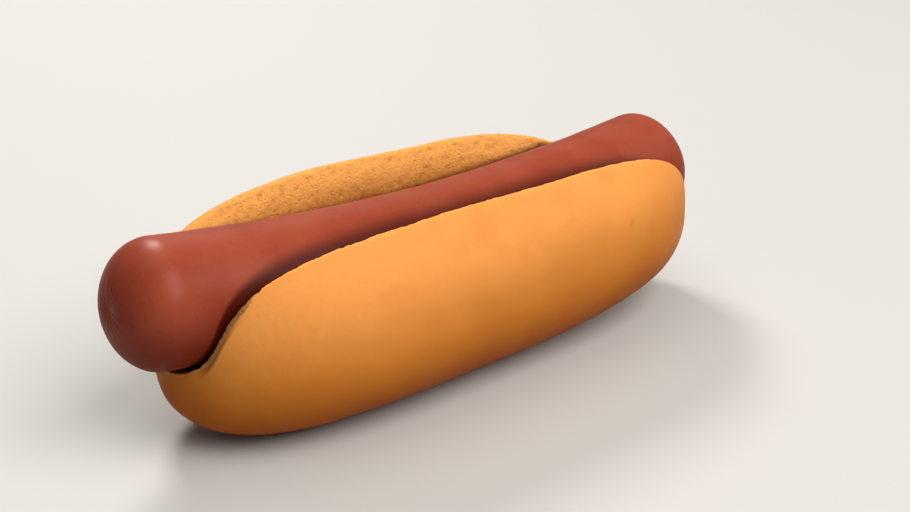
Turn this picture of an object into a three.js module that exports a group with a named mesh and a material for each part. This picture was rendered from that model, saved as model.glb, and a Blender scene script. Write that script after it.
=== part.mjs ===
// A hot dog: a soft bun, slit along its top, with a frankfurter lying in the slit.
// Sizes are in millimetres. +X runs along the bun, +Y across it and +Z up.
// The bun stands on z = 0, and the frankfurter's middle is at x = 0.
import * as THREE from "three";

// The loaf as it was baked, before it was slit
const LOAF_LENGTH = 150;
const LOAF_CENTRE_X = 4; // the frankfurter stands out further at its -X end
const LOAF_HALF_WIDTH = 30.3;
const LOAF_CROWN = 52.3; // where the crust closed over the slit
const LOAF_WIDEST = 25; // height of the widest line round its sides
const LOAF_TIP = 15; // height of its two tips
const LOAF_PRESSED = 0.8; // how far the round underside is pressed flat
const SIDE_POWER = { above: 2.55, below: 2.3 }; // 2 is an ellipse, more is boxier

// How the loaf narrows from its middle to its tips, at -X (start) and at +X (end). A high
// power keeps the size for longer, and a high root ends it more bluntly. The +X end is the
// slimmer one, and its underside curves up sooner
const PLAN = { start: { power: 3.7, root: 2.1 }, end: { power: 3, root: 2.1 } };
const UNDERSIDE = { start: { power: 6.8, root: 1.95 }, end: { power: 2.1, root: 1.95 } };

// The halves on either side of the slit: how far the crown of each falls from its middle
// to its +X end and bows down to both ends, how it rounds off to the tips, and the slow
// waves of a hand-shaped loaf
const NEAR = {
  side: -1,
  crownFall: 1.5,
  crownBow: 5,
  crown: { start: { power: 9, root: 4.2 }, end: { power: 7.3, root: 4.5 } },
  waves: [
    { size: 0.3, length: 107, start: 34 },
    { size: 0.18, length: 60, start: 38 },
  ],
};
const FAR = {
  side: 1,
  crownFall: 2.6,
  crownBow: 2.5,
  crown: { start: { power: 3.4, root: 6.4 }, end: { power: 3.4, root: 3.3 } },
  waves: [
    { size: 0.3, length: 107, start: -34 },
    { size: 0.18, length: 60, start: -38 },
  ],
};

// The slit: a round seat for the frankfurter, with a wall on each side that leans out. It
// opens wider towards both ends, where the frankfurter bends up out of it
const SEAT_GAP = 0.45;
const FLARE = 1.1; // how much wider the gap is at the tips
const FLARE_FROM = 36; // distance from the middle at which it starts to widen
const LEAST_DEPTH = 0.6; // of the seat in the crust, out to the very tips
const WALL_LEAN = THREE.MathUtils.degToRad(17.5);
const LIP_ROUND = 2.2; // the crust curls over the lips by about this much
const LIP_SHARE = 0.45; // of a shallow slit that the lip may round off

// The frankfurter, bent so that both ends rise out of the slit
const FRANK_LENGTH = 164.4;
const FRANK_RADIUS = 14.4;
const FRANK_MIDDLE = { y: 0.8, z: 28.9 };
const FRANK_RISE = 6.5; // how much higher its ends are than its middle
const FRANK_TILT = 2.5; // its -X end lies higher by this much, and its +X end lower
const FRANK_TURN = 1.4; // its +X end lies further over by this much
const FRANK_CAP = { start: 10.8, end: 9.9 }; // length of its rounded end at -X and at +X

// How finely the two skins are divided
const LOAF_STATIONS = 58;
const SLIT_STEPS = 10;
const LIP_STEPS = 4;
const CRUST_STEPS = 17;
const CRUST_SAMPLES = 60; // points that the curve of the crust is drawn through
const CLOSE_ENOUGH = 0.001; // where the slit's lip is looked for
const FRANK_RINGS = 46;
const FRANK_SIDES = 36;

const CRUST = new THREE.MeshStandardMaterial({
  color: new THREE.Color(0.8, 0.42, 0.13),
  roughness: 0.62,
  metalness: 0,
});
const SKIN = new THREE.MeshStandardMaterial({
  color: new THREE.Color(0.42, 0.09, 0.045),
  roughness: 0.36,
  metalness: 0,
});

/** Share of the full size that is left at t: 1 in the middle (0) and none at the tips (-1, 1). */
function taper(t, { start, end }) {
  const { power, root } = t < 0 ? start : end;
  return Math.max(0, 1 - Math.abs(t) ** power) ** (1 / root);
}

/** Small natural unevenness of one half at x. */
function unevenness(x, half) {
  const wave = ({ size, length, start }) =>
    size * Math.sin((2 * Math.PI * (x - start)) / length);
  return half.waves.map(wave).reduce((sum, height) => sum + height);
}

/** One half's main heights and width in the section at x. */
function loafAt(x, half) {
  const t = (x - LOAF_CENTRE_X) / (LOAF_LENGTH / 2);
  const wave = unevenness(x, half);
  const crown = LOAF_CROWN - half.crownFall * t - half.crownBow * t ** 2 + wave;
  return {
    halfWidth: (LOAF_HALF_WIDTH + wave) * taper(t, PLAN),
    crown: THREE.MathUtils.lerp(LOAF_TIP, crown, taper(t, half.crown)),
    widest: THREE.MathUtils.lerp(LOAF_TIP, LOAF_WIDEST, taper(t, half.crown)),
    base: THREE.MathUtils.lerp(LOAF_TIP, -LOAF_PRESSED, taper(t, UNDERSIDE)),
  };
}

/** Middle of the frankfurter's section at x. */
function frankCentre(x) {
  const q = x / (FRANK_LENGTH / 2);
  const y = FRANK_MIDDLE.y + FRANK_TURN * q;
  const z = FRANK_MIDDLE.z + FRANK_RISE * q ** 2 - FRANK_TILT * q;
  return new THREE.Vector3(x, y, z);
}

/** Which part of the side's curve a height is on: its height above or below the widest line. */
function sideCurve(loaf, above) {
  return above
    ? { rise: loaf.crown - loaf.widest, power: SIDE_POWER.above }
    : { rise: loaf.widest - loaf.base, power: SIDE_POWER.below };
}

/** Whether a point of the section, as (distance from the middle, height), is in the loaf. */
function isInLoaf(loaf, point) {
  const { rise, power } = sideCurve(loaf, point.y > loaf.widest);
  const across = Math.abs(point.x) / loaf.halfWidth;
  const up = Math.abs(point.y - loaf.widest) / rise;
  return across ** power + up ** power < 1;
}

/** Point of the crust at an angle: 90 degrees is the crown, 0 the side and -90 the base. */
function crustPoint(loaf, angle) {
  const { rise, power } = sideCurve(loaf, angle > 0);
  const across = loaf.halfWidth * Math.max(0, Math.cos(angle)) ** (2 / power);
  const up = rise * Math.abs(Math.sin(angle)) ** (2 / power);
  return new THREE.Vector2(across, loaf.widest + Math.sign(angle) * up);
}

/** Angle of the crust point that lies at a point of the section. */
function crustAngle(loaf, point) {
  const { power } = sideCurve(loaf, point.y > loaf.widest);
  const share = THREE.MathUtils.clamp(point.x / loaf.halfWidth, 0, 1);
  return Math.sign(point.y - loaf.widest) * Math.acos(share ** (power / 2));
}

/** One half of the slit's surface at x: the point at a run along it from its floor's middle. */
function slitHalf(x, half) {
  const crown = Math.min(loafAt(x, NEAR).crown, loafAt(x, FAR).crown);
  const endward = Math.max(0, Math.abs(x) - FLARE_FROM) / (LOAF_LENGTH / 2 - FLARE_FROM);
  const radius = FRANK_RADIUS + SEAT_GAP + FLARE * endward ** 2;
  const centre = frankCentre(x);
  const seatZ = Math.min(centre.z, crown - LEAST_DEPTH + radius);
  const seatRun = radius * (Math.PI / 2 - WALL_LEAN);
  return (run) => {
    const angle = Math.min(run, seatRun) / radius - Math.PI / 2;
    const wallRun = Math.max(0, run - seatRun);
    return new THREE.Vector2(
      half.side * centre.y + radius * Math.cos(angle) + wallRun * Math.sin(WALL_LEAN),
      seatZ + radius * Math.sin(angle) + wallRun * Math.cos(WALL_LEAN),
    );
  };
}

/** Run along the slit at which its surface comes out through the crust. */
function lipRun(slitPoint, loaf) {
  let inside = 0;
  let outside = LOAF_CROWN;
  while (outside - inside > CLOSE_ENOUGH) {
    const middle = (inside + outside) / 2;
    if (isInLoaf(loaf, slitPoint(middle))) inside = middle;
    else outside = middle;
  }
  return inside;
}

/** Half of the bun's section at x, from the slit's floor over the lip to the base. */
function halfSection(x, half) {
  const loaf = loafAt(x, half);
  const slitPoint = slitHalf(x, half);
  const run = lipRun(slitPoint, loaf);
  const corner = slitPoint(run);
  const round = Math.min(LIP_ROUND, LIP_SHARE * run);

  const top = crustAngle(loaf, corner);
  const outline = Array.from({ length: CRUST_SAMPLES + 1 }, (_, i) =>
    crustPoint(loaf, THREE.MathUtils.lerp(top, -Math.PI / 2, i / CRUST_SAMPLES)),
  );
  const crust = new THREE.SplineCurve(outline);
  const crustLength = crust.getLength();
  const crustAfter = (distance) => crust.getPointAt(Math.min(1, distance / crustLength));
  const lip = new THREE.QuadraticBezierCurve(
    slitPoint(run - round),
    corner,
    crustAfter(round),
  );

  const points = [];
  for (let i = 0; i < SLIT_STEPS; i++)
    points.push(slitPoint(((run - round) * i) / SLIT_STEPS));
  for (let i = 0; i < LIP_STEPS; i++) points.push(lip.getPoint(i / LIP_STEPS));
  for (let i = 0; i <= CRUST_STEPS; i++)
    points.push(crustAfter(THREE.MathUtils.lerp(round, crustLength, i / CRUST_STEPS)));
  return points.map((p) => new THREE.Vector3(x, half.side * p.x, Math.max(0, p.y)));
}

/** The bun's whole section at x, once round from the middle of the slit's floor. */
function bunSection(x) {
  return [...halfSection(x, FAR), ...halfSection(x, NEAR).slice(1, -1).reverse()];
}

/** Skin over rings of points, closed at each end by a fan to one tip point. */
function loft(rings, startTip, endTip) {
  const count = rings[0].length;
  const points = [...rings.flat(), startTip, endTip];
  const start = points.length - 2;
  const end = points.length - 1;
  const last = (rings.length - 1) * count;
  const faces = [];
  for (let i = 0; i < count; i++) {
    const next = (i + 1) % count;
    faces.push(start, i, next);
    for (let here = 0; here < last; here += count) {
      const beyond = here + count;
      faces.push(here + i, beyond + i, beyond + next);
      faces.push(here + i, beyond + next, here + next);
    }
    faces.push(last + next, last + i, end);
  }
  const geometry = new THREE.BufferGeometry().setFromPoints(points);
  geometry.setIndex(faces);
  geometry.computeVertexNormals();
  return geometry;
}

/** Places from -1 to 1, closer together towards both ends, where a skin rounds off. */
function endwards(count) {
  return Array.from({ length: count - 1 }, (_, i) => -Math.cos((Math.PI * (i + 1)) / count));
}

/** The bun: a loft through its sections. */
function bunGeometry() {
  const half = LOAF_LENGTH / 2;
  const rings = endwards(LOAF_STATIONS).map((t) => bunSection(LOAF_CENTRE_X + t * half));
  const tip = (t) => new THREE.Vector3(LOAF_CENTRE_X + t * half, 0, LOAF_TIP);
  return loft(rings, tip(-1), tip(1));
}

/** One ring of the frankfurter's skin, square to its bent centre line. */
function frankRing(x) {
  const half = FRANK_LENGTH / 2;
  const capLength = x < 0 ? FRANK_CAP.start : FRANK_CAP.end;
  const cap = Math.max(0, 1 - (half - Math.abs(x)) / capLength);
  const radius = FRANK_RADIUS * Math.sqrt(1 - cap ** 2);
  const slope = (2 * FRANK_RISE * (x / half) - FRANK_TILT) / half;
  const along = new THREE.Vector3(1, FRANK_TURN / half, slope);
  const upward = new THREE.Vector3(-slope, 0, 1).normalize();
  const sideways = new THREE.Vector3().crossVectors(upward, along).normalize();
  return Array.from({ length: FRANK_SIDES }, (_, k) => {
    const angle = (2 * Math.PI * k) / FRANK_SIDES;
    return frankCentre(x)
      .addScaledVector(sideways, radius * Math.sin(angle))
      .addScaledVector(upward, radius * Math.cos(angle));
  });
}

/** The frankfurter: a loft through its rings, with a domed end each way. */
function frankGeometry() {
  const half = FRANK_LENGTH / 2;
  const rings = endwards(FRANK_RINGS).map((q) => frankRing(q * half));
  return loft(rings, frankCentre(-half), frankCentre(half));
}

const hotDog = new THREE.Group();

const bun = new THREE.Mesh(bunGeometry(), CRUST);
bun.name = "bun";
hotDog.add(bun);

const frankfurter = new THREE.Mesh(frankGeometry(), SKIN);
frankfurter.name = "frankfurter";
hotDog.add(frankfurter);

export default hotDog;
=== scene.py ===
"""A hot dog on a pale floor: a soft slit bun with a bent frankfurter lying in it.

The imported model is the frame, in metres: +X runs along the bun, +Y across it, +Z up, and
the bun stands on z = 0. The two pieces made here replace the model's two nodes with finely
divided skins of the same form, and add the relief of crust, crumb and sausage skin.
"""

import logging
import math
from dataclasses import dataclass
from enum import Enum

import bpy
import numpy as np
from mathutils import Color, Matrix, Vector, noise


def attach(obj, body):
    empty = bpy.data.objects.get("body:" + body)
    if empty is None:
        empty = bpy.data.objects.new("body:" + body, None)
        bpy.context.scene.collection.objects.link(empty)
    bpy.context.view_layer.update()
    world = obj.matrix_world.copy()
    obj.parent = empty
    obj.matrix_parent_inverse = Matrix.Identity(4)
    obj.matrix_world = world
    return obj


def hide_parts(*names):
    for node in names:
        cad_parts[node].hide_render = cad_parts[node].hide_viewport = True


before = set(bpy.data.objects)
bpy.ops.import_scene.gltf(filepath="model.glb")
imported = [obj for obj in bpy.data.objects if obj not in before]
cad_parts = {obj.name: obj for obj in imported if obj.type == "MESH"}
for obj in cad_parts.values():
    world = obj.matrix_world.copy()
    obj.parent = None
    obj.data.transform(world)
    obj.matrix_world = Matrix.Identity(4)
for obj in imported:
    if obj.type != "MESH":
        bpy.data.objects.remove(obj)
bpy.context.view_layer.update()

MM = 0.001
FULL_TINT = 255
PORE_WOBBLE = 0.4
PORE_FILL = 1.2
FINE_GRAIN = 3.7
log = logging.getLogger("hot_dog")

Colour = tuple[float, float, float, float]
Socket = bpy.types.NodeSocket
Array = np.ndarray
Band = tuple[float, float]


class Slot(Enum):
    """The record's material slots."""

    BUN = "bun_crust"
    FRANK = "sausage_skin"


class Effect(Enum):
    """The shader effects that more than one finish uses."""

    BLOTCHES = "Blotches"
    PORES = "Pores"
    GRAIN = "Grain"


def tint(red: int, green: int, blue: int) -> Colour:
    """Turns a colour as seen on a screen into the shader's own scale.

    Args:
        red: Red, from 0 to FULL_TINT.
        green: Green, from 0 to FULL_TINT.
        blue: Blue, from 0 to FULL_TINT.

    Returns:
        The colour with an alpha of 1.
    """
    seen = Color((red / FULL_TINT, green / FULL_TINT, blue / FULL_TINT))
    return (*seen.from_srgb_to_scene_linear(), 1.0)


def smooth(value: Array | float, low: float, high: float) -> Array | float:
    """Rises smoothly from 0 at low to 1 at high."""
    share = np.clip((value - low) / (high - low), 0, 1)
    return share * share * (3 - 2 * share)


def lerp(start: float, end: float, share: Array | float) -> Array | float:
    """Goes from start to end by a share."""
    return start + (end - start) * share


class Wiring:
    """Adds nodes to one node tree and joins them."""

    def __init__(self, tree: bpy.types.NodeTree) -> None:
        """Keeps the tree and empties it."""
        self.tree = tree
        tree.nodes.clear()

    def feed(self, node: bpy.types.Node, inputs: dict[str | int, Socket | object]) -> None:
        """Links sockets to a node's inputs and sets the rest as values.

        Args:
            node: The node to feed.
            inputs: A socket or a value for each input, by name or number.
        """
        for key, value in inputs.items():
            if isinstance(value, Socket):
                self.tree.links.new(value, node.inputs[key])
            else:
                node.inputs[key].default_value = value

    def add(self, kind: str, inputs: dict | None = None, **settings: object) -> bpy.types.Node:
        """Adds one node.

        Args:
            kind: The node's Blender type, without ShaderNode in front.
            inputs: Values or sockets for its inputs, by name or number.
            **settings: The node's own options.

        Returns:
            The new node.
        """
        node = self.tree.nodes.new(kind if kind.startswith("Node") else f"ShaderNode{kind}")
        for name, value in settings.items():
            setattr(node, name, value)
        self.feed(node, inputs or {})
        return node

    def maths(self, operation: str, first: Socket | float, second: Socket | float = 0.0) -> Socket:
        """Joins two numbers by an operation, and gives the result's socket."""
        return self.add("Math", {0: first, 1: second}, operation=operation).outputs[0]

    def times(self, first: Socket, second: Socket | float) -> Socket:
        """Multiplies two numbers, and gives the result's socket."""
        return self.maths("MULTIPLY", first, second)

    def number(self, name: str) -> Socket:
        """Reads a number that the mesh keeps for each of its points."""
        return self.add("Attribute", attribute_name=name).outputs["Fac"]

    def rise(self, value: Socket, low: Socket | float, high: Socket | float) -> Socket:
        """Gives a socket that rises smoothly from 0 to 1 as value goes from low to high."""
        inputs = {"Value": value, "From Min": low, "From Max": high}
        return self.add("MapRange", inputs, interpolation_type="SMOOTHSTEP").outputs[0]

    def mix(self, share: Socket | float, first: Socket | float, second: Socket | float) -> Socket:
        """Mixes two numbers by a share of the second, and gives the result's socket."""
        return self.add("Mix", {0: share, 2: first, 3: second}, data_type="FLOAT").outputs[0]

    def blend(self, share: Socket | float, first: Socket | Colour, second: Socket | Colour) -> Socket:
        """Mixes two colours by a share of the second, and gives the result's socket."""
        return self.add("Mix", {0: share, 6: first, 7: second}, data_type="RGBA").outputs[2]

    def effect(self, effect: Effect, place: Socket, **inputs: Socket | float) -> Socket:
        """Places a shared effect with its own values.

        Args:
            effect: The effect.
            place: The socket of the place on the object.
            **inputs: The effect's other inputs, by name.

        Returns:
            The socket of the effect's output.
        """
        node = self.add("Group", node_tree=bpy.data.node_groups[effect.value])
        self.feed(node, {"Place": place, **inputs})
        return node.outputs[0]


class EffectGroup(Wiring):
    """A shader node group with a place, some numbers and one number that it puts out."""

    def __init__(self, effect: Effect, output: str, numbers: tuple[str, ...]) -> None:
        """Makes the group's sockets.

        Args:
            effect: Which effect this is.
            output: The name of its output.
            numbers: The names of its number inputs.
        """
        super().__init__(bpy.data.node_groups.new(effect.value, "ShaderNodeTree"))
        face = self.tree.interface
        face.new_socket("Place", in_out="INPUT", socket_type="NodeSocketVector")
        for name in numbers:
            face.new_socket(name, in_out="INPUT", socket_type="NodeSocketFloat")
        face.new_socket(output, in_out="OUTPUT", socket_type="NodeSocketFloat")
        self.source = self.add("NodeGroupInput").outputs
        self.result = self.add("NodeGroupOutput")

    def put_out(self, value: Socket) -> None:
        """Sends a value to the group's output."""
        self.feed(self.result, {0: value})


def build_blotches() -> None:
    """Builds soft uneven patches: 1 inside a patch and 0 outside."""
    group = EffectGroup(Effect.BLOTCHES, "Mask", ("Scale", "Low", "High"))
    source = group.source
    inputs = {"Vector": source["Place"], "Scale": source["Scale"], "Detail": 5.0}
    value = group.add("TexNoise", inputs).outputs[0]
    group.put_out(group.rise(value, source["Low"], source["High"]))


def build_pores() -> None:
    """Builds small pits of uneven outline: 1 in the middle of a pit and 0 outside."""
    group = EffectGroup(Effect.PORES, "Pits", ("Scale", "Radius", "Share"))
    source = group.source
    cells = group.add("TexVoronoi", {"Vector": source["Place"], "Scale": source["Scale"]})
    double = group.times(source["Scale"], 2.0)
    wobble = group.add("TexNoise", {"Vector": source["Place"], "Scale": double}).outputs[0]
    distance = group.maths("ADD", cells.outputs["Distance"], group.times(wobble, PORE_WOBBLE))
    share = group.maths("DIVIDE", distance, source["Radius"])
    near = group.maths("SUBTRACT", PORE_FILL, share)
    chance = group.add("SeparateColor", {0: cells.outputs["Color"]}).outputs[0]
    there = group.maths("LESS_THAN", chance, source["Share"])
    group.put_out(group.times(group.rise(near, 0.0, 1.0), there))


def build_grain() -> None:
    """Builds fine uneven ground: a height about 0.5 with coarse and fine bumps in it."""
    group = EffectGroup(Effect.GRAIN, "Height", ("Scale", "Fineness"))
    source = group.source
    finer = group.times(source["Scale"], FINE_GRAIN)
    coarse = group.add("TexNoise", {"Vector": source["Place"], "Scale": source["Scale"]})
    fine = group.add("TexNoise", {"Vector": source["Place"], "Scale": finer, "Detail": 3.0})
    group.put_out(group.mix(source["Fineness"], coarse.outputs[0], fine.outputs[0]))


@dataclass(frozen=True)
class BunFinish:
    """Baked crust outside and toasted crumb on the cut faces.

    Runs and depths are in millimetres, as the mesh keeps them.
    """

    # From top to base the crust darkens: partly its own colour, partly painted shade of a loaf lit from
    # above.
    crust_top: Colour = tint(226, 148, 74)
    crust_side: Colour = tint(187, 114, 40)
    crust_low: Colour = tint(145, 66, 0)
    crust_blotch: Colour = tint(204, 120, 50)
    crust_speck: Colour = tint(160, 84, 36)
    crust_edge: Colour = tint(100, 46, 12)
    crumb_gold: Colour = tint(255, 178, 94)
    # Toast and painted shade: the crumb is browner deeper in the slit and in its pits.
    crumb_toast_and_shade: Colour = tint(162, 86, 34)
    # Pale untoasted crumb, painted in a shaded tone.
    crumb_pale_in_shade: Colour = tint(144, 105, 60)
    crumb_shade: Colour = tint(88, 38, 12)
    low_band: Band = (4 * MM, 26 * MM)
    top_band: Band = (20 * MM, 42 * MM)
    drift: float = 12 * MM
    # Painted shade: the crust darkens towards +X and at the -X tip.
    painted_shade_tilt: float = 0.06
    painted_end_shade: float = 10 * MM
    end_band: Band = (62 * MM, 76 * MM)
    blotch_share: float = 0.3
    speck_share: float = 0.35
    edge_run: Band = (-3.6, -2.2)
    edge_heights: Band = (38 * MM, 30 * MM)
    edge_share: float = 0.8
    # Deeper in, the crumb is browner: partly toast, partly painted shade beside the frankfurter.
    toast_and_shade_run: Band = (2.5, 11.0)
    toast_shares: Band = (0.6, 0.95)
    patch_share: float = 0.4
    # Painted shade in the crumb's pits.
    pit_shade_share: float = 0.3
    deep_run: Band = (8.0, 14.0)
    pale_deep_run: Band = (1.2, 2.6)
    deep_share: float = 0.8
    shadow_depths: Band = (5.2, 7.6)
    shadow_run: Band = (0.8, 3.0)
    shadow_share: float = 0.9
    rim_heights: Band = (30 * MM, 21 * MM)
    rim_share: float = 0.55
    border_run: Band = (0.2, 0.9)
    border_ragged: float = 1.2
    pale_widening: float = 1.9
    dimple_share: float = 0.25
    fluff_share: float = 2.0
    crumb_share: float = 2.2
    crust_rough: Band = (0.45, 0.58)
    crumb_rough: float = 0.85

    def crust_colour(self, wiring: Wiring, place: Socket) -> Socket:
        """Colours the crust, with blotches and specks, darker towards the base, towards +X and at the
        -X tip: partly the crust's own colour, partly painted shade.

        Args:
            wiring: The material's wiring.
            place: The socket of the place on the object.

        Returns:
            The colour's socket.
        """
        x, _, height = wiring.add("SeparateXYZ", {0: place}).outputs
        drift = wiring.effect(Effect.GRAIN, place, Scale=45.0, Fineness=0.2)
        centred = wiring.maths("SUBTRACT", drift, 0.5)
        uneven = wiring.times(centred, self.drift)
        # Painted shade: the level drops towards +X and at the -X tip, which darkens the crust there.
        by_end = wiring.rise(wiring.times(x, -1.0), *self.end_band)
        tilted = wiring.times(x, self.painted_shade_tilt)
        painted_shade_drop = wiring.maths("ADD", tilted, wiring.times(by_end, self.painted_end_shade))
        level = wiring.maths("SUBTRACT", wiring.maths("ADD", height, uneven), painted_shade_drop)
        # Lighter top and darker base: partly the crust's own colour, partly painted shade.
        lower = wiring.blend(wiring.rise(level, *self.low_band), self.crust_low, self.crust_side)
        patches = wiring.effect(Effect.BLOTCHES, place, Scale=95.0, Low=0.48, High=0.75)
        blotched = wiring.times(patches, self.blotch_share)
        upper = wiring.blend(blotched, self.crust_top, self.crust_blotch)
        mottled = wiring.blend(wiring.rise(level, *self.top_band), lower, upper)
        specks = wiring.effect(Effect.PORES, place, Scale=150.0, Radius=0.42, Share=0.16)
        speckled = wiring.times(specks, self.speck_share)
        return wiring.blend(speckled, mottled, self.crust_speck)

    def edged(self, wiring: Wiring, place: Socket, cut: Socket, crust: Socket) -> Socket:
        """Darkens the crust's own edge along the pale strip of the cut face, more so lower down.

        Args:
            wiring: The material's wiring.
            place: The socket of the place on the object.
            cut: The socket of the run from the lip into the slit, in millimetres.
            crust: The socket of the crust's colour.

        Returns:
            The colour's socket.
        """
        height = wiring.add("SeparateXYZ", {0: place}).outputs[2]
        low = wiring.rise(height, *self.edge_heights)
        strip = wiring.number("untoasted")
        beside = wiring.times(strip, wiring.rise(cut, *self.edge_run))
        share = wiring.times(wiring.times(beside, low), self.edge_share)
        return wiring.blend(share, crust, self.crust_edge)

    def crumb_colour(self, wiring: Wiring, place: Socket, cut: Socket) -> Socket:
        """Colours the cut face: golden by the lip, browner deeper in (toast and painted shade), with
        painted shade in the pits, and pale where untoasted, in a shaded tone.

        Args:
            wiring: The material's wiring.
            place: The socket of the place on the object.
            cut: The socket of the run from the lip into the slit, in millimetres.

        Returns:
            The colour's socket.
        """
        mottle = wiring.effect(Effect.BLOTCHES, place, Scale=900.0, Low=0.3, High=0.75)
        patches = wiring.effect(Effect.BLOTCHES, place, Scale=160.0, Low=0.35, High=0.75)
        mixed = wiring.mix(self.patch_share, mottle, patches)
        # Browner deeper in: partly toast, partly painted shade.
        deeper_toast_and_shade = wiring.rise(cut, *self.toast_and_shade_run)
        toast = wiring.times(deeper_toast_and_shade, wiring.mix(mixed, *self.toast_shares))
        gold = wiring.blend(toast, self.crumb_gold, self.crumb_toast_and_shade)
        # Painted shade: the crumb's pits are darkened.
        pit = wiring.number("pit")
        painted_pit_shade = wiring.times(pit, self.pit_shade_share)
        toasted = wiring.blend(painted_pit_shade, gold, self.crumb_toast_and_shade)
        pale = wiring.number("untoasted")
        # The pale strip is painted in a shaded tone.
        face = wiring.blend(pale, toasted, self.crumb_pale_in_shade)
        return wiring.blend(self.crumb_depth(wiring, place, cut, pale), face, self.crumb_shade)

    def crumb_depth(self, wiring: Wiring, place: Socket, cut: Socket, pale: Socket) -> Socket:
        """Shades the cut face deep in the slit, beside the frankfurter and on the low rim.

        Args:
            wiring: The material's wiring.
            place: The socket of the place on the object.
            cut: The socket of the run from the lip into the slit, in millimetres.
            pale: The socket of the share of untoasted crumb.

        Returns:
            The socket of the shade's share.
        """
        bounds = [wiring.mix(pale, *ends) for ends in zip(self.deep_run, self.pale_deep_run)]
        deep = wiring.times(wiring.rise(cut, *bounds), self.deep_share)
        sunk = wiring.number("sunk")
        inside = wiring.mix(pale, wiring.rise(cut, *self.shadow_run), 0.0)
        beside = wiring.times(inside, wiring.rise(sunk, *self.shadow_depths))
        shadow = wiring.times(beside, self.shadow_share)
        height = wiring.add("SeparateXYZ", {0: place}).outputs[2]
        rim = wiring.times(wiring.rise(height, *self.rim_heights), self.rim_share)
        return wiring.maths("MAXIMUM", wiring.maths("MAXIMUM", deep, shadow), rim)

    def crumb_share_of(self, wiring: Wiring, place: Socket, cut: Socket) -> Socket:
        """Parts the crumb from the crust along a ragged border by the lip.

        Args:
            wiring: The material's wiring.
            place: The socket of the place on the object.
            cut: The socket of the run from the lip into the slit, in millimetres.

        Returns:
            The socket of the crumb's share: 1 on the crumb and 0 on the crust.
        """
        ragged = wiring.effect(Effect.GRAIN, place, Scale=500.0, Fineness=0.4)
        pale = wiring.number("untoasted")
        widened = wiring.times(pale, self.pale_widening)
        shifted = wiring.maths("ADD", cut, widened)
        line = wiring.maths("ADD", shifted, wiring.times(ragged, self.border_ragged))
        return wiring.rise(line, *self.border_run)

    def relief(self, wiring: Wiring, place: Socket, crumb: Socket) -> Socket:
        """Gives the fine relief: wrinkles and dimples in the crust, a sponge in the crumb.

        Args:
            wiring: The material's wiring.
            place: The socket of the place on the object.
            crumb: The socket of the crumb's share.

        Returns:
            The socket of the height.
        """
        wrinkles = wiring.effect(Effect.GRAIN, place, Scale=520.0, Fineness=0.35)
        dimples = wiring.effect(Effect.PORES, place, Scale=420.0, Radius=0.5, Share=0.3)
        sunken = wiring.times(dimples, self.dimple_share)
        skin = wiring.maths("SUBTRACT", wrinkles, sunken)
        holes = wiring.effect(Effect.PORES, place, Scale=1100.0, Radius=0.62, Share=0.7)
        fluff = wiring.effect(Effect.GRAIN, place, Scale=1500.0, Fineness=0.5)
        raised = wiring.times(fluff, self.fluff_share)
        sponge = wiring.maths("SUBTRACT", raised, holes)
        return wiring.mix(crumb, skin, wiring.times(sponge, self.crumb_share))

    def material(self) -> bpy.types.Material:
        """Builds the bun's material, with crust and crumb parted by the cut's run.

        Returns:
            The material.
        """
        made = bpy.data.materials.new("Bun crust and crumb")
        made.use_nodes = True
        wiring = Wiring(made.node_tree)
        place = wiring.add("TexCoord").outputs["Object"]
        cut = wiring.number("cut")
        crumb = self.crumb_share_of(wiring, place, cut)
        outside = self.edged(wiring, place, cut, self.crust_colour(wiring, place))
        inside = self.crumb_colour(wiring, place, cut)
        colour = wiring.blend(crumb, outside, inside)

        sheen = wiring.effect(Effect.BLOTCHES, place, Scale=160.0, Low=0.3, High=0.7)
        crust_rough = wiring.mix(sheen, *self.crust_rough)
        rough = wiring.mix(crumb, crust_rough, self.crumb_rough)
        height = self.relief(wiring, place, crumb)
        bump = wiring.add("Bump", {"Height": height, "Strength": 0.55, "Distance": 0.25 * MM})
        shader = wiring.add("BsdfPrincipled", {
            "Base Color": colour,
            "Roughness": rough,
            "Normal": bump.outputs[0],
            "Specular IOR Level": 0.05,
            "Subsurface Weight": 0.12,
            "Subsurface Radius": (1.0, 0.45, 0.2),
            "Subsurface Scale": 2.5 * MM,
        })
        wiring.add("OutputMaterial", {"Surface": shader.outputs[0]})
        return made


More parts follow.
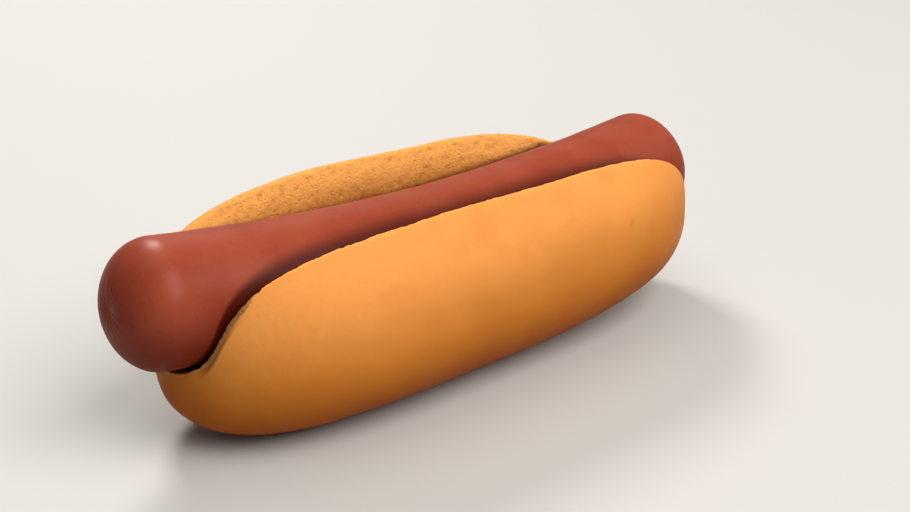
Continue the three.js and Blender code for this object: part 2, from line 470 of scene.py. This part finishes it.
@dataclass(frozen=True)
class FrankFinish:
    """Moist sausage skin: brick-coloured, finely speckled, with painted shade at the ends, beneath and
    where the bun's lips rise beside it.
    """

    skin: Colour = tint(153, 69, 46)
    skin_dark: Colour = tint(143, 59, 37)
    speck_light: Colour = tint(172, 82, 54)
    speck_dark: Colour = tint(112, 40, 24)
    # Painted shade: the darker colour of both ends and the underside.
    end: Colour = tint(92, 20, 0)
    # Painted shade where the bun's lips rise close beside the skin.
    tuck_shade: Colour = tint(68, 14, 3)
    # Where the painted shade of the ends and the underside lies.
    end_band: Band = (72 * MM, 86 * MM)
    end_share: float = 0.75
    under_band: Band = (45 * MM, 26 * MM)
    under_share: float = 0.85
    light_share: float = 0.3
    dark_share: float = 0.4
    tuck_share: float = 0.94
    pore_share: float = 0.2
    crease_stretch: tuple[float, float, float] = (0.22, 1.0, 1.0)
    rough: Band = (0.41, 0.55)
    coat: Band = (0.17, 0.02)

    def end_and_under_shade(self, wiring: Wiring, place: Socket) -> Socket:
        """Finds the painted shade of the skin, at both ends and on the underside, where its coat is
        also thinner.

        Args:
            wiring: The material's wiring.
            place: The socket of the place on the object.

        Returns:
            The socket of its share.
        """
        x, _, height = wiring.add("SeparateXYZ", {0: place}).outputs
        ends = wiring.rise(wiring.maths("ABSOLUTE", x), *self.end_band)
        under = wiring.rise(height, *self.under_band)
        by_end = wiring.times(ends, self.end_share)
        return wiring.maths("MAXIMUM", by_end, wiring.times(under, self.under_share))

    def colour(self, wiring: Wiring, place: Socket, shade_share: Socket) -> Socket:
        """Colours the skin.

        Args:
            wiring: The material's wiring.
            place: The socket of the place on the object.
            shade_share: The socket of the share of painted shade at the ends and beneath.

        Returns:
            The colour's socket.
        """
        patches = wiring.effect(Effect.BLOTCHES, place, Scale=70.0, Low=0.35, High=0.7)
        base = wiring.blend(patches, self.skin, self.skin_dark)
        pale = wiring.effect(Effect.PORES, place, Scale=900.0, Radius=0.55, Share=0.4)
        light = wiring.times(pale, self.light_share)
        flecked = wiring.blend(light, base, self.speck_light)
        dark = wiring.effect(Effect.PORES, place, Scale=520.0, Radius=0.5, Share=0.22)
        spots = wiring.times(dark, self.dark_share)
        spotted = wiring.blend(spots, flecked, self.speck_dark)
        # Painted shade at both ends and on the underside.
        end_and_under_shade = wiring.blend(shade_share, spotted, self.end)
        # Painted shade where the bun's lips rise beside the skin.
        tuck = wiring.number("tuck_shade")
        return wiring.blend(wiring.times(tuck, self.tuck_share), end_and_under_shade, self.tuck_shade)

    def material(self) -> bpy.types.Material:
        """Builds the sausage skin's material.

        Returns:
            The material.
        """
        made = bpy.data.materials.new("Sausage skin")
        made.use_nodes = True
        wiring = Wiring(made.node_tree)
        place = wiring.add("TexCoord").outputs["Object"]
        shade_share = self.end_and_under_shade(wiring, place)
        stretched = {"Vector": place, "Scale": self.crease_stretch}
        lengthwise = wiring.add("Mapping", stretched).outputs[0]
        smears = wiring.effect(Effect.BLOTCHES, place, Scale=120.0, Low=0.3, High=0.7)
        creases = wiring.effect(Effect.GRAIN, lengthwise, Scale=420.0, Fineness=0.3)
        pores = wiring.effect(Effect.PORES, place, Scale=800.0, Radius=0.5, Share=0.35)
        sunken = wiring.times(pores, self.pore_share)
        height = wiring.maths("SUBTRACT", creases, sunken)
        bump = wiring.add("Bump", {"Height": height, "Strength": 0.35, "Distance": 0.15 * MM})
        shader = wiring.add("BsdfPrincipled", {
            "Base Color": self.colour(wiring, place, shade_share),
            "Roughness": wiring.mix(smears, *self.rough),
            "Normal": bump.outputs[0],
            "Subsurface Weight": 0.15,
            "Subsurface Radius": (1.0, 0.3, 0.15),
            "Subsurface Scale": 2.5 * MM,
            "Specular IOR Level": 0.06,
            "Coat Weight": wiring.mix(shade_share, *self.coat),
            "Coat Roughness": 0.33,
        })
        wiring.add("OutputMaterial", {"Surface": shader.outputs[0]})
        return made


@dataclass(frozen=True)
class Ripple:
    """Relief of one size: smooth bumps and hollows."""

    size: float
    height: float

    def at(self, point: Vector) -> float:
        """Gives how far the skin is raised at a point."""
        return self.height * noise.noise(point / self.size)


@dataclass(frozen=True)
class Holes:
    """Pits of one size, in a share of the cells of an uneven net."""

    spacing: float
    depth: float
    radius: float
    share: float
    scatter: float = 7.3
    full_depth_from: float = 0.8

    def at(self, point: Vector) -> float:
        """Looks for a pit at a point.

        Args:
            point: The point.

        Returns:
            How deep the pit is there, or 0 outside every pit.
        """
        distances, centres = noise.voronoi(point / self.spacing)
        if noise.cell(centres[0] * self.scatter) > self.share:
            return 0.0
        inward = 1 - distances[0] / self.radius
        return self.depth * float(smooth(inward, 0.0, self.full_depth_from))


def closed_skin(name: str, rings: Array, start_tip: Array, end_tip: Array) -> bpy.types.Mesh:
    """Makes a closed skin over rings of points, with a fan to a tip at each end.

    Args:
        name: The mesh's name.
        rings: Points, as (ring, point in the ring, 3), in metres.
        start_tip: The point that closes the first ring.
        end_tip: The point that closes the last ring.

    Returns:
        The mesh, smoothly shaded.
    """
    ring_count, count, _ = rings.shape
    points = np.concatenate([rings.reshape(-1, 3), [start_tip, end_tip]])
    start, end = len(points) - 2, len(points) - 1
    here = np.arange(count)
    after = (here + 1) % count
    faces = [(start, int(a), int(b)) for a, b in zip(here, after)]
    for ring in range(ring_count - 1):
        low, high = ring * count, (ring + 1) * count
        quads = np.stack([low + here, high + here, high + after, low + after], axis=1)
        faces.extend(map(tuple, quads.tolist()))
    last = (ring_count - 1) * count
    faces.extend((int(last + b), int(last + a), end) for a, b in zip(here, after))
    mesh = bpy.data.meshes.new(name)
    mesh.from_pydata(points.tolist(), [], faces)
    mesh.polygons.foreach_set("use_smooth", np.ones(len(mesh.polygons), bool))
    return mesh


def places_of(mesh: bpy.types.Mesh) -> Array:
    """Reads where a mesh's points are.

    Args:
        mesh: The mesh.

    Returns:
        The places, as (point, 3).
    """
    places = np.empty(len(mesh.vertices) * 3)
    mesh.vertices.foreach_get("co", places)
    return places.reshape(-1, 3)


def push_out(mesh: bpy.types.Mesh, heights: Array) -> None:
    """Moves each point of a mesh along its normal.

    Args:
        mesh: The mesh.
        heights: How far each point moves.
    """
    normals = np.empty(len(mesh.vertices) * 3)
    mesh.vertex_normals.foreach_get("vector", normals)
    moved = places_of(mesh) + normals.reshape(-1, 3) * heights[:, None]
    mesh.vertices.foreach_set("co", moved.ravel())
    mesh.update()


def endwards(count: int) -> Array:
    """Gives places from -1 to 1, closer together towards both ends."""
    return -np.cos(np.pi * np.arange(1, count) / count)


@dataclass(frozen=True)
class Frankfurter:
    """The bent sausage, which also gives the slit its line."""

    length: float = 164.4 * MM
    radius: float = 14.4 * MM
    middle_y: float = 0.8 * MM
    middle_z: float = 28.9 * MM
    rise: float = 6.5 * MM
    tilt: float = 2.5 * MM
    turn: float = 1.4 * MM
    start_cap: float = 10.8 * MM
    end_cap: float = 9.9 * MM
    ring_count: int = 400
    side_count: int = 132
    ripples: tuple[Ripple, ...] = (
        Ripple(19 * MM, 0.16 * MM),
        Ripple(6 * MM, 0.05 * MM),
    )
    dimple_depth: float = 0.5 * MM
    dimple_radius: float = 2.4 * MM
    pucker_height: float = 0.035 * MM
    pucker_count: int = 17
    pucker_radius: float = 4.2 * MM
    pucker_bends: tuple[tuple[float, int, float], ...] = ((1.3, 3, 1.0), (0.8, 5, 0.0))
    tuck_reach: float = 1.5 * MM
    tuck_band: Band = (math.radians(17), math.radians(38))
    least_gap: float = 0.1 * MM

    def centre(self, x: Array | float) -> tuple[Array | float, Array | float]:
        """Follows the bent centre line.

        Args:
            x: Where along the sausage.

        Returns:
            The middle of its section there, as y and z.
        """
        q = x / (self.length / 2)
        return self.middle_y + self.turn * q, self.middle_z + self.rise * q * q - self.tilt * q

    def ring(self, x: float) -> tuple[Array, float]:
        """Makes one ring of the skin, square to the bent centre line.

        Args:
            x: Where on the centre line.

        Returns:
            The ring's points and its radius.
        """
        half = self.length / 2
        cap_length = self.start_cap if x < 0 else self.end_cap
        cap = max(0.0, 1 - (half - abs(x)) / cap_length)
        radius = self.radius * math.sqrt(1 - cap**2)
        slope = (2 * self.rise * (x / half) - self.tilt) / half
        along = Vector((1, self.turn / half, slope))
        upward = Vector((-slope, 0, 1)).normalized()
        sideways = upward.cross(along).normalized()
        angles = 2 * np.pi * np.arange(self.side_count) / self.side_count
        middle = np.array([x, *self.centre(x)])
        across = np.outer(np.sin(angles), sideways) + np.outer(np.cos(angles), upward)
        return middle + radius * across, radius

    def end_relief(self, radius: Array, angle: Array, x: Array) -> Array:
        """Sinks a dimple into each end, with fine puckers that run into it.

        Args:
            radius: Each point's distance from the centre line.
            angle: Each point's angle round it.
            x: Each point's place along it.

        Returns:
            The height at each point.
        """
        half = self.length / 2
        by_end = smooth(np.abs(x), half - self.start_cap, half - self.end_cap / 2)
        dimple = -self.dimple_depth * np.exp(-((radius / self.dimple_radius) ** 2))
        spread = radius / self.pucker_radius
        uneven = sum(size * np.sin(count * angle + turn) for size, count, turn in self.pucker_bends)
        folds = np.sin(self.pucker_count * angle + uneven)
        puckers = self.pucker_height * spread * np.exp(1 - spread**2) * folds
        return by_end * (dimple + puckers)

    def tuck_shade(self, mesh: bpy.types.Mesh, bun: "Bun") -> Array:
        """Works out how far each point of the skin lies in between the bun's lips, for the painted
        shade there.

        Args:
            mesh: The sausage's mesh.
            bun: The bun that it lies in.

        Returns:
            The shares: 0 where a point lies open, and 1 where a lip rises close beside it.
        """
        x, y, z = places_of(mesh).T
        shares = np.zeros(len(x))
        for half in (NEAR, FAR):
            across, up = bun.lip_line(half, x)
            away = np.maximum(across - half.side * y, self.least_gap)
            slope = np.arctan2(up + self.tuck_reach - z, away)
            shares = np.maximum(shares, smooth(slope, *self.tuck_band))
        return shares

    def build(self, finish: FrankFinish, bun: "Bun") -> bpy.types.Object:
        """Builds and dresses the sausage.

        Args:
            finish: Its skin.
            bun: The bun that it lies in.

        Returns:
            The piece, riding on the body and replacing its node.
        """
        half = self.length / 2
        made = [self.ring(q * half) for q in endwards(self.ring_count)]
        rings = np.array([points for points, _ in made])
        tips = [np.array([x, *self.centre(x)]) for x in (-half, half)]
        mesh = closed_skin("Frankfurter skin", rings, *tips)

        radii = np.append(np.repeat([radius for _, radius in made], self.side_count), [0, 0])
        angles = 2 * np.pi * np.arange(self.side_count) / self.side_count
        angles = np.append(np.tile(angles, len(made)), [0, 0])
        along = places_of(mesh)[:, 0]
        ground = np.array([sum(r.at(v.co) for r in self.ripples) for v in mesh.vertices])
        push_out(mesh, ground + self.end_relief(radii, angles, along))
        # Keeps the share of painted shade from the bun's lips, for the material.
        keep_number(mesh, "tuck_shade", self.tuck_shade(mesh, bun))
        return piece("frankfurter_skin", mesh, finish.material(), "frankfurter")


@dataclass(frozen=True)
class Tip:
    """How a size runs out at one tip: later for a high power, more bluntly for a high root."""

    power: float
    root: float


@dataclass(frozen=True)
class Taper:
    """How a size of the loaf narrows from its middle to its two tips."""

    start: Tip
    end: Tip

    def share(self, t: float) -> float:
        """Gives the share of the size that is left at t, from -1 to 1."""
        tip = self.start if t < 0 else self.end
        return max(0.0, 1 - abs(t) ** tip.power) ** (1 / tip.root)


@dataclass(frozen=True)
class Wave:
    """A slow wave along one half of the loaf."""

    size: float
    length: float
    start: float

    def at(self, x: float) -> float:
        """Gives the wave's height at x."""
        return self.size * math.sin(2 * math.pi * (x - self.start) / self.length)


@dataclass(frozen=True)
class Half:
    """One half of the loaf, on either side of the slit."""

    side: int
    crown_fall: float
    crown_bow: float
    crown: Taper
    waves: tuple[Wave, ...]


NEAR = Half(
    side=-1,
    crown_fall=1.5 * MM,
    crown_bow=5 * MM,
    crown=Taper(start=Tip(9, 4.2), end=Tip(7.3, 4.5)),
    waves=(Wave(0.3 * MM, 107 * MM, 34 * MM), Wave(0.18 * MM, 60 * MM, 38 * MM)),
)
FAR = Half(
    side=1,
    crown_fall=2.6 * MM,
    crown_bow=2.5 * MM,
    crown=Taper(start=Tip(3.4, 6.4), end=Tip(3.4, 3.3)),
    waves=(Wave(0.3 * MM, 107 * MM, -34 * MM), Wave(0.18 * MM, 60 * MM, -38 * MM)),
)


@dataclass(frozen=True)
class Section:
    """One half's main heights and width in one section of the loaf."""

    half_width: float
    crown: float
    widest: float
    base: float
    power_above: float
    power_below: float

    def holds(self, point: Array) -> bool:
        """Tells whether a point is in the loaf.

        Args:
            point: The point, as (distance from the middle, height).

        Returns:
            Whether it is.
        """
        above = point[1] > self.widest
        rise = self.crown - self.widest if above else self.widest - self.base
        power = self.power_above if above else self.power_below
        across = abs(point[0]) / self.half_width
        return across**power + (abs(point[1] - self.widest) / rise) ** power < 1

    def crust_from(self, corner: Array, samples: int) -> Array:
        """Traces the crust from a corner on it down to the middle of the base.

        Args:
            corner: The point of the crust to start from.
            samples: How many points to trace.

        Returns:
            The points, as (distance from the middle, height).
        """
        above = corner[1] > self.widest
        share = min(1.0, max(0.0, corner[0] / self.half_width))
        power = self.power_above if above else self.power_below
        top = math.acos(share ** (power / 2)) * (1 if above else -1)
        angles = np.linspace(top, -math.pi / 2, samples)
        powers = np.where(angles > 0, self.power_above, self.power_below)
        rises = np.where(angles > 0, self.crown - self.widest, self.widest - self.base)
        across = self.half_width * np.clip(np.cos(angles), 0, 1) ** (2 / powers)
        up = np.sign(angles) * rises * np.abs(np.sin(angles)) ** (2 / powers)
        return np.stack([across, self.widest + up], axis=1)


@dataclass(frozen=True)
class Bun:
    """The soft loaf with its slit."""

    frank: Frankfurter
    length: float = 150 * MM
    centre_x: float = 4 * MM
    half_width: float = 30.3 * MM
    crown: float = 52.3 * MM
    widest: float = 25 * MM
    tip: float = 15 * MM
    pressed: float = 0.8 * MM
    power_above: float = 2.55
    power_below: float = 2.3
    plan: Taper = Taper(start=Tip(3.7, 2.1), end=Tip(3, 2.1))
    underside: Taper = Taper(start=Tip(6.8, 1.95), end=Tip(2.1, 1.95))
    seat_gap: float = 0.45 * MM
    flare: float = 1.1 * MM
    flare_from: float = 36 * MM
    least_depth: float = 0.6 * MM
    wall_lean: float = math.radians(17.5)
    lip_round: float = 2.2 * MM
    lip_share: float = 0.45
    lip_tolerance: float = 0.001 * MM
    stations: int = 340
    slit_steps: int = 56
    lip_steps: int = 14
    crust_steps: int = 70
    crust_tracing: int = 8
    crumb_from: Band = (-0.6 * MM, 0.8 * MM)
    smooth_base: Band = (0.1 * MM, 3 * MM)
    pale_ends: Band = (55 * MM, 61 * MM)
    pale_sides: Band = (10 * MM, 14 * MM)
    pale_run: Band = (3 * MM, 9 * MM)
    crust_ripples: tuple[Ripple, ...] = (
        Ripple(27 * MM, 0.3 * MM),
        Ripple(9 * MM, 0.1 * MM),
        Ripple(3.2 * MM, 0.035 * MM),
    )
    crumb_ripples: tuple[Ripple, ...] = (
        Ripple(4 * MM, 0.16 * MM),
        Ripple(1.3 * MM, 0.12 * MM),
    )
    crumb_holes: tuple[Holes, ...] = (
        Holes(2.3 * MM, 0.45 * MM, 0.45, 0.35),
        Holes(1.1 * MM, 0.28 * MM, 0.55, 0.6),
    )

    def section(self, x: float, half: Half) -> Section:
        """Works out one half's main heights and width.

        Args:
            x: Where on the bun.
            half: Which half.

        Returns:
            The section there.
        """
        t = (x - self.centre_x) / (self.length / 2)
        wave = sum(w.at(x) for w in half.waves)
        crown = self.crown - half.crown_fall * t - half.crown_bow * t**2 + wave
        return Section(
            half_width=(self.half_width + wave) * self.plan.share(t),
            crown=lerp(self.tip, crown, half.crown.share(t)),
            widest=lerp(self.tip, self.widest, half.crown.share(t)),
            base=lerp(self.tip, -self.pressed, self.underside.share(t)),
            power_above=self.power_above,
            power_below=self.power_below,
        )

    def slit_points(self, x: float, half: Half, runs: Array) -> Array:
        """Gives points of the slit's surface, by their runs from its floor's middle.

        Args:
            x: Where on the bun.
            half: Which half of the slit.
            runs: The runs along the slit's surface.

        Returns:
            The points, as (distance from the middle, height).
        """
        crown = min(self.section(x, NEAR).crown, self.section(x, FAR).crown)
        endward = max(0.0, abs(x) - self.flare_from) / (self.length / 2 - self.flare_from)
        radius = self.frank.radius + self.seat_gap + self.flare * endward**2
        centre_y, centre_z = self.frank.centre(x)
        seat_z = min(centre_z, crown - self.least_depth + radius)
        seat_run = radius * (math.pi / 2 - self.wall_lean)
        angles = np.minimum(runs, seat_run) / radius - math.pi / 2
        wall = np.maximum(0, runs - seat_run)
        across = radius * np.cos(angles) + wall * math.sin(self.wall_lean)
        up = radius * np.sin(angles) + wall * math.cos(self.wall_lean)
        return np.stack([half.side * centre_y + across, seat_z + up], axis=1)

    def lip_run(self, x: float, half: Half, section: Section) -> float:
        """Finds where the slit's surface comes out through the crust.

        Args:
            x: Where on the bun.
            half: Which half.
            section: That half's section there.

        Returns:
            The run along the slit's surface.
        """
        inside, outside = 0.0, self.crown
        while outside - inside > self.lip_tolerance:
            middle = (inside + outside) / 2
            if section.holds(self.slit_points(x, half, np.array([middle]))[0]):
                inside = middle
            else:
                outside = middle
        return inside

    def lip_line(self, half: Half, places: Array) -> tuple[Array, Array]:
        """Follows one half's lip along the bun.

        Args:
            half: Which half.
            places: The places along X. Past the bun's ends the lip counts as its tip.

        Returns:
            The lip's distances from the middle and its heights.
        """
        stations = self.centre_x + endwards(self.stations) * self.length / 2
        runs = [self.lip_run(x, half, self.section(x, half)) for x in stations]
        corners = [self.slit_points(x, half, np.array([run]))[0] for x, run in zip(stations, runs)]
        across, up = np.array(corners).T
        across = np.interp(places, stations, across, left=0, right=0)
        return across, np.interp(places, stations, up, left=self.tip, right=self.tip)

    def half_ring(self, x: float, half: Half) -> tuple[Array, Array]:
        """Traces half of the section at x, from the slit's floor over the lip to the base.

        Args:
            x: Where on the bun.
            half: Which half.

        Returns:
            The points in the frame, and each one's run from the lip into the slit, which
            is below 0 on the crust.
        """
        section = self.section(x, half)
        run = self.lip_run(x, half, section)
        rounded = min(self.lip_round, self.lip_share * run)
        corner = self.slit_points(x, half, np.array([run]))[0]
        crust = section.crust_from(corner, self.crust_tracing * self.crust_steps)
        steps = np.linalg.norm(np.diff(crust, axis=0), axis=1)
        reach = np.concatenate([[0], np.cumsum(steps)])
        wanted = np.linspace(rounded, reach[-1], self.crust_steps + 1)
        skin = np.stack([np.interp(wanted, reach, crust[:, k]) for k in (0, 1)], axis=1)

        runs = np.linspace(0, run - rounded, self.slit_steps, endpoint=False)
        walls = self.slit_points(x, half, runs)
        inner = self.slit_points(x, half, np.array([run - rounded]))[0]
        share = np.linspace(0, 1, self.lip_steps, endpoint=False)[:, None]
        lip = (1 - share) ** 2 * inner + 2 * share * (1 - share) * corner + share**2 * skin[0]
        flat = np.concatenate([walls, lip, skin])
        cut = np.concatenate([run - runs, lerp(rounded, -rounded, share[:, 0]), -wanted])
        across, up = flat[:, 0] * half.side, np.maximum(0, flat[:, 1])
        return np.stack([np.full(len(flat), x), across, up], axis=1), cut

    def ring(self, x: float) -> tuple[Array, Array]:
        """Traces the whole section, once round from the middle of the slit's floor.

        Args:
            x: Where on the bun.

        Returns:
            The points and each one's run from the lip into the slit.
        """
        far, far_cut = self.half_ring(x, FAR)
        near, near_cut = self.half_ring(x, NEAR)
        back = slice(-2, 0, -1)
        return np.concatenate([far, near[back]]), np.concatenate([far_cut, near_cut[back]])

    def relief(self, point: Vector, cut: float) -> tuple[float, float]:
        """Works out the relief at one point of the bun.

        Args:
            point: The point.
            cut: Its run from the lip into the slit.

        Returns:
            How far the skin is raised, and the share of the deepest pit.
        """
        crumb = float(smooth(cut, *self.crumb_from))
        off_floor = float(smooth(point.z, *self.smooth_base))
        crust = sum(r.at(point) for r in self.crust_ripples) * off_floor
        if crumb == 0:
            return crust, 0.0
        pit = max(h.at(point) for h in self.crumb_holes) * crumb
        torn = sum(r.at(point) for r in self.crumb_ripples) * crumb
        return crust * (1 - crumb) + torn - pit, pit / self.crumb_holes[0].depth

    def build(self, finish: BunFinish) -> bpy.types.Object:
        """Builds and dresses the bun.

        Args:
            finish: Its crust and crumb.

        Returns:
            The piece, riding on the body and replacing its node.
        """
        half = self.length / 2
        made = [self.ring(self.centre_x + t * half) for t in endwards(self.stations)]
        rings = np.array([points for points, _ in made])
        tips = [np.array([self.centre_x + t * half, 0, self.tip]) for t in (-1, 1)]
        mesh = closed_skin("Bun skin", rings, *tips)
        cuts = np.concatenate([cut for _, cut in made] + [[-half, -half]])
        reliefs = [self.relief(vertex.co, cut) for vertex, cut in zip(mesh.vertices, cuts)]
        heights, pits = np.array(reliefs).T
        push_out(mesh, heights)
        keep_number(mesh, "cut", cuts / MM)
        keep_number(mesh, "pit", pits)
        keep_number(mesh, "untoasted", self.untoasted(mesh, cuts))
        keep_number(mesh, "sunk", self.sunk(mesh) / MM)
        return piece("bun_crust_and_crumb", mesh, finish.material(), "bun")

    def sunk(self, mesh: bpy.types.Mesh) -> Array:
        """Gives how far each point lies below the top of the frankfurter beside it."""
        x, _, z = places_of(mesh).T
        return self.frank.centre(x)[1] + self.frank.radius - z

    def untoasted(self, mesh: bpy.types.Mesh, cuts: Array) -> Array:
        """Finds the pale crumb, by the near half's lip at its -X end.

        Args:
            mesh: The bun's mesh.
            cuts: Each point's run from the lip into the slit.

        Returns:
            The share of pale crumb at each point.
        """
        x, y, _ = places_of(mesh).T
        by_end = smooth(-x, *self.pale_ends) * smooth(-y, *self.pale_sides)
        return by_end * (1 - smooth(cuts, *self.pale_run))


def keep_number(mesh: bpy.types.Mesh, name: str, values: Array) -> None:
    """Keeps a number for each point of a mesh, for its material to read."""
    attribute = mesh.attributes.new(name, "FLOAT", "POINT")
    attribute.data.foreach_set("value", values.astype(np.float32))


def piece(
    name: str, mesh: bpy.types.Mesh, material: bpy.types.Material, node: str
) -> bpy.types.Object:
    """Makes a piece of the object that stands for a node of the model.

    Args:
        name: The piece's name.
        mesh: Its mesh, in place in the frame.
        material: Its material.
        node: The model's node that it replaces.

    Returns:
        The piece.
    """
    made = bpy.data.objects.new(name, mesh)
    mesh.materials.append(material)
    bpy.context.scene.collection.objects.link(made)
    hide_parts(node)
    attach(made, "root")
    return made


@dataclass(frozen=True)
class PhotoCamera:
    """The camera at the photograph's viewing angle, as fitted to its outlines."""

    target: tuple[float, float, float] = (3.3 * MM, 0.0, 20 * MM)
    azimuth: float = math.radians(-37.25)
    elevation: float = math.radians(23.86)
    roll: float = math.radians(-1.2)
    distance: float = 339.4 * MM
    target_right: float = -3.74 * MM
    target_down: float = 4.97 * MM
    focal_px: float = 1388.4
    image_width_px: float = 910
    sensor_mm: float = 36

    def place(self) -> bpy.types.Object:
        """Places the camera and makes it the scene's.

        Returns:
            The camera.
        """
        level = math.cos(self.elevation)
        back = Vector((
            math.sin(self.azimuth) * level,
            -math.cos(self.azimuth) * level,
            math.sin(self.elevation),
        ))
        right = Vector((0, 0, 1)).cross(back).normalized()
        up = back.cross(right)
        cos, sin = math.cos(self.roll), math.sin(self.roll)
        right, up = cos * right + sin * up, cos * up - sin * right
        spot = Vector(self.target) + back * self.distance
        spot += up * self.target_down - right * self.target_right
        data = bpy.data.cameras.new("Camera")
        data.sensor_width = self.sensor_mm
        data.lens = self.focal_px * self.sensor_mm / self.image_width_px
        data.clip_start = 10 * MM
        camera = bpy.data.objects.new("Camera", data)
        camera.matrix_world = Matrix.Translation(spot) @ Matrix((right, up, back)).transposed().to_4x4()
        bpy.context.scene.collection.objects.link(camera)
        bpy.context.scene.camera = camera
        return camera


@dataclass(frozen=True)
class Softbox:
    """A square soft light that faces the object."""

    name: str
    spot: tuple[float, float, float]
    size: float
    watts: float
    colour: tuple[float, float, float] = (1.0, 0.98, 0.95)

    def place(self, target: Vector) -> bpy.types.Object:
        """Places the light.

        Args:
            target: The point that it faces.

        Returns:
            The light.
        """
        data = bpy.data.lights.new(self.name, "AREA")
        data.shape = "SQUARE"
        data.size = self.size
        data.energy = self.watts
        data.color = self.colour
        light = bpy.data.objects.new(self.name, data)
        light.location = self.spot
        light.rotation_euler = (target - light.location).to_track_quat("-Z", "Y").to_euler()
        bpy.context.scene.collection.objects.link(light)
        return light


@dataclass(frozen=True)
class Studio:
    """The pale floor, the soft lights and the pale room."""

    floor_size: float = 8.0
    floor_drop: float = 0.05 * MM
    floor_colour: Colour = tint(194, 192, 188)
    floor_rough: float = 0.7
    room_colour: Colour = tint(226, 228, 232)
    room_strength: float = 0.22
    lights: tuple[Softbox, ...] = (
        Softbox("Key light", (0.26, -1.0, 1.17), 1.2, 28.0),
        Softbox("Top light", (-0.15, 0.2, 1.5), 1.2, 6.0),
        Softbox("Rim light", (0.26, 0.84, 0.856), 0.3, 9.0),
    )

    def floor(self) -> bpy.types.Object:
        """Lays the floor just under the object.

        Returns:
            The floor.
        """
        half = self.floor_size / 2
        corners = [(-half, -half), (half, -half), (half, half), (-half, half)]
        mesh = bpy.data.meshes.new("Floor")
        mesh.from_pydata([(x, y, -self.floor_drop) for x, y in corners], [], [(0, 1, 2, 3)])
        material = bpy.data.materials.new("Pale floor")
        material.use_nodes = True
        wiring = Wiring(material.node_tree)
        inputs = {"Base Color": self.floor_colour, "Roughness": self.floor_rough}
        shader = wiring.add("BsdfPrincipled", inputs)
        wiring.add("OutputMaterial", {"Surface": shader.outputs[0]})
        mesh.materials.append(material)
        floor = bpy.data.objects.new("Floor", mesh)
        bpy.context.scene.collection.objects.link(floor)
        return floor

    def room(self) -> None:
        """Fills the room with pale even light."""
        world = bpy.data.worlds.new("Pale room")
        world.use_nodes = True
        wiring = Wiring(world.node_tree)
        inputs = {"Color": self.room_colour, "Strength": self.room_strength}
        background = wiring.add("Background", inputs)
        wiring.add("OutputWorld", {"Surface": background.outputs[0]})
        bpy.context.scene.world = world

    def build(self, target: Vector) -> None:
        """Builds the floor, the room and the lights.

        Args:
            target: The point that the lights face.
        """
        self.floor()
        self.room()
        for light in self.lights:
            light.place(target)
        bpy.context.scene.view_settings.view_transform = "Standard"


def main() -> None:
    """Builds the camera, the studio and the two pieces."""
    logging.basicConfig(level=logging.INFO, format="%(name)s: %(message)s")
    camera = PhotoCamera()
    camera.place()
    Studio().build(Vector(camera.target))
    for build_effect in (build_blotches, build_pores, build_grain):
        build_effect()
    frank = Frankfurter()
    bun = Bun(frank)
    for made in (frank.build(FrankFinish(), bun), bun.build(BunFinish())):
        log.info("%s: %d faces", made.name, len(made.data.polygons))


if __name__ == "__main__":
    main()
